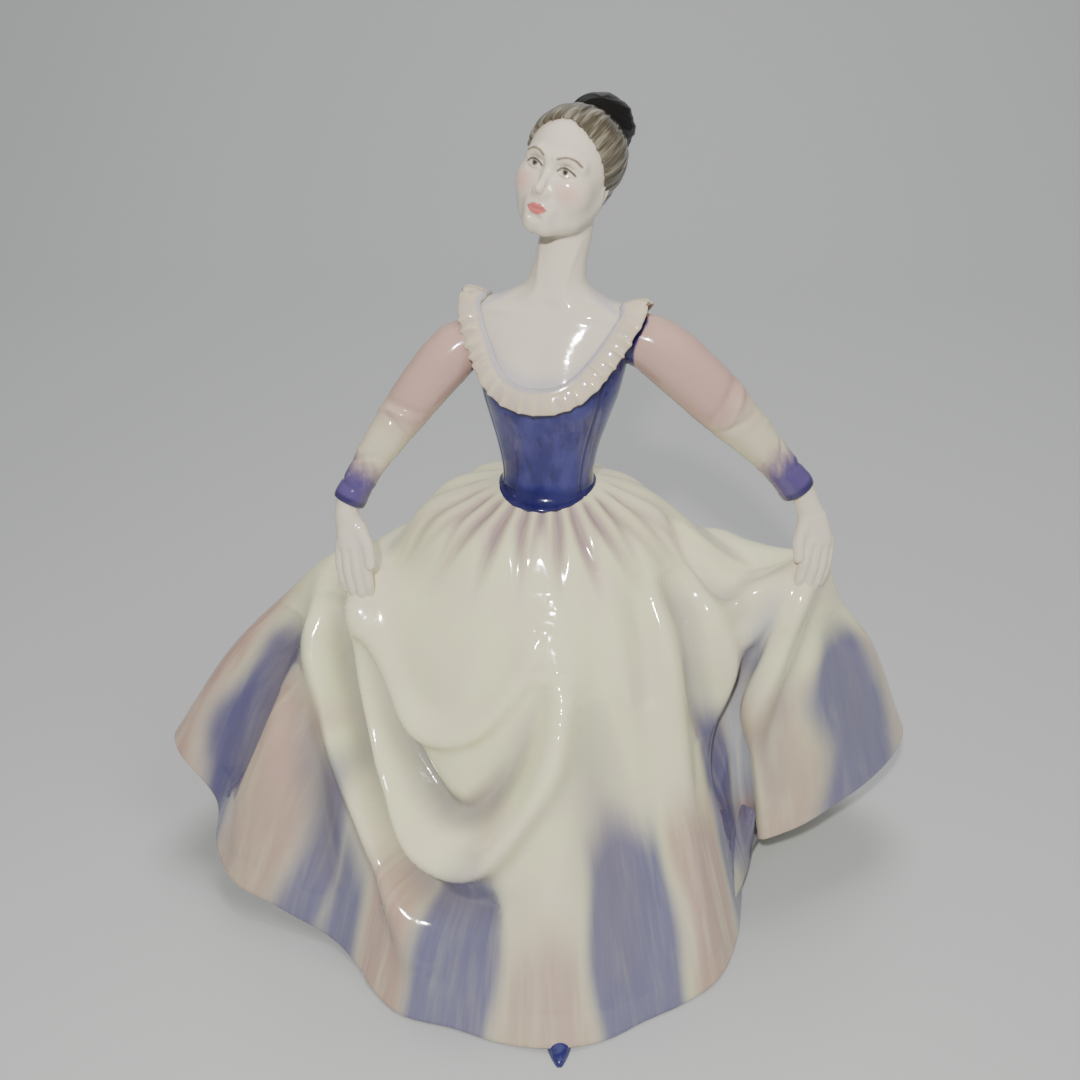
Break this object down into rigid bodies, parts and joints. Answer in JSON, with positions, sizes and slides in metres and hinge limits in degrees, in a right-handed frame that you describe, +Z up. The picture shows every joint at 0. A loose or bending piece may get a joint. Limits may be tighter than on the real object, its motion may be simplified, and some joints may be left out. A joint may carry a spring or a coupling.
{
  "type": "porcelain lady figurine",
  "caption": "Glazed porcelain statuette of a lady in a fitted bodice who lifts both sides of a long gathered skirt, on a flat closed foot.",
  "frame": {"origin": "middle of the underside of the flat base plate, on the surface the figurine stands on", "axes": "+Z up, the lady faces -Y, +X to her left"},
  "size_m": [0.2061, 0.1536, 0.2007],
  "materials": {
    "biscuit": "unglazed bisque foot",
    "skirt_glaze": "glossy, hand painted in cream, pink and lilac",
    "shoe_glaze": "glossy blue",
    "bodice_glaze": "glossy, brushed ultramarine",
    "skin_glaze": "glossy white porcelain",
    "frill_glaze": "glossy cream",
    "hair_glaze": "glossy, brushed grey-brown",
    "bun_glaze": "glossy dark brown",
    "sleeve_glaze": "glossy, pink to cream with violet cuffs"
  },
  "bodies": {
    "root": {"base_plate": "biscuit", "skirt": "skirt_glaze", "shoe": "shoe_glaze", "bodice": "bodice_glaze", "chest_and_neck": "skin_glaze", "frill_front": "frill_glaze", "frill_left_strap": "frill_glaze", "frill_right_strap": "frill_glaze", "frill_back": "frill_glaze", "head": "skin_glaze", "hair_cap": "hair_glaze", "hair_bun": "bun_glaze", "left_sleeve": "sleeve_glaze", "right_sleeve": "sleeve_glaze", "left_hand": "skin_glaze", "right_hand": "skin_glaze"}
  },
  "joints": []
}
